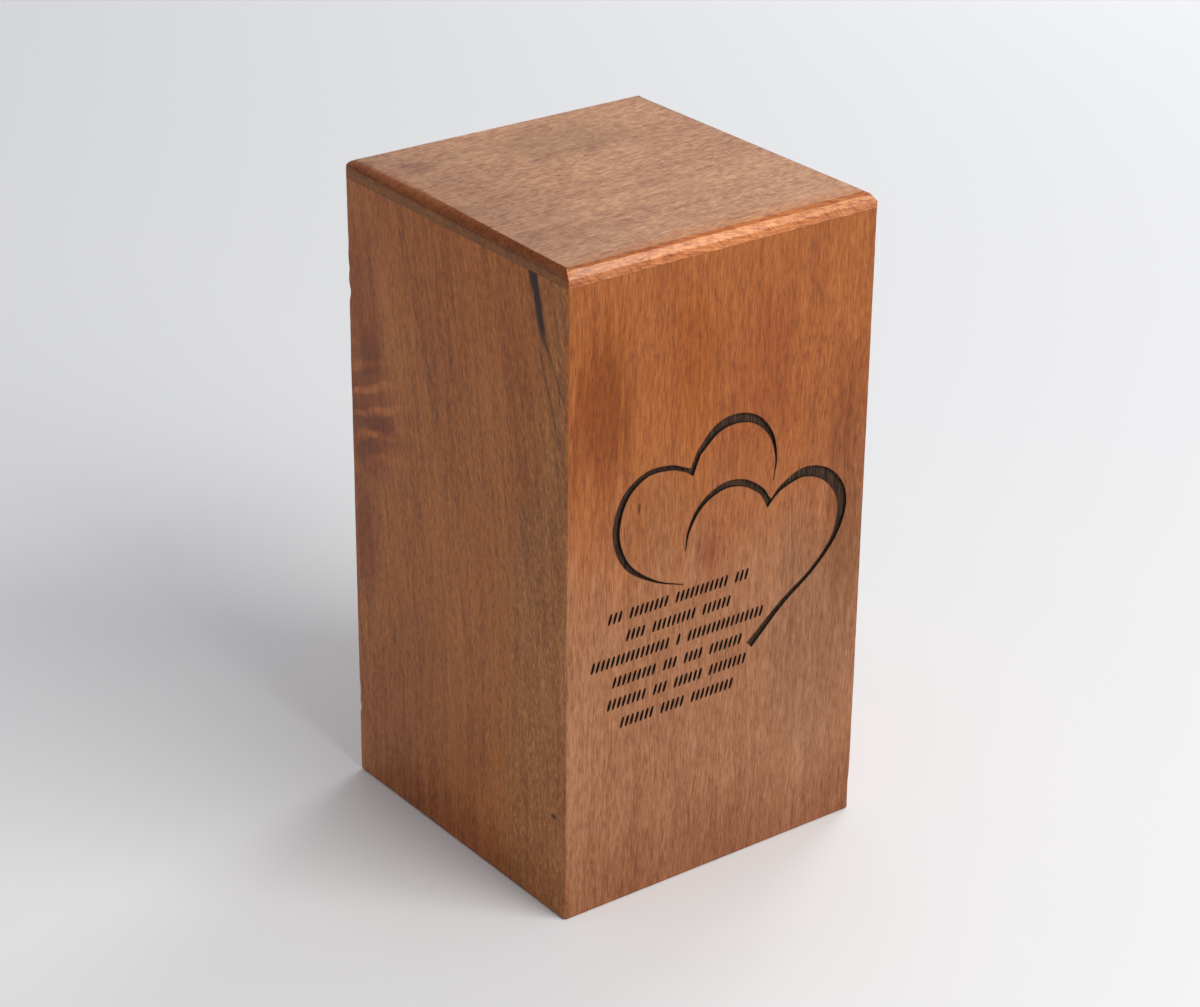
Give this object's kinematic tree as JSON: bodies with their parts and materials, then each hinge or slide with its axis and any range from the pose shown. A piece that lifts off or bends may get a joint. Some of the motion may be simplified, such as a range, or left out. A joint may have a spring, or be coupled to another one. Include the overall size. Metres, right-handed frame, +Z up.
{
  "type": "cremation urn box",
  "caption": "Tall square wooden urn box with a hollow chamber, mitred walls, a rounded lift-off lid and an engraved front with two interlaced hearts above rows of strokes.",
  "frame": {"origin": "centre of the underside, on the surface the box stands on", "axes": "+Z up the box's height; the engraved front faces -Y; +X is to the right of someone looking at the front"},
  "size_m": [0.14, 0.14, 0.261],
  "materials": {
    "lid_wood": "satin lacquer",
    "front_wood": "satin lacquer",
    "left_wood": "satin lacquer",
    "right_wood": "satin lacquer",
    "back_wood": "satin lacquer",
    "base_wood": "sanded"
  },
  "bodies": {
    "root": {"lid": "lid_wood", "front_board": "front_wood", "left_board": "left_wood", "right_board": "right_wood", "back_board": "back_wood", "base_board": "base_wood"}
  },
  "joints": []
}
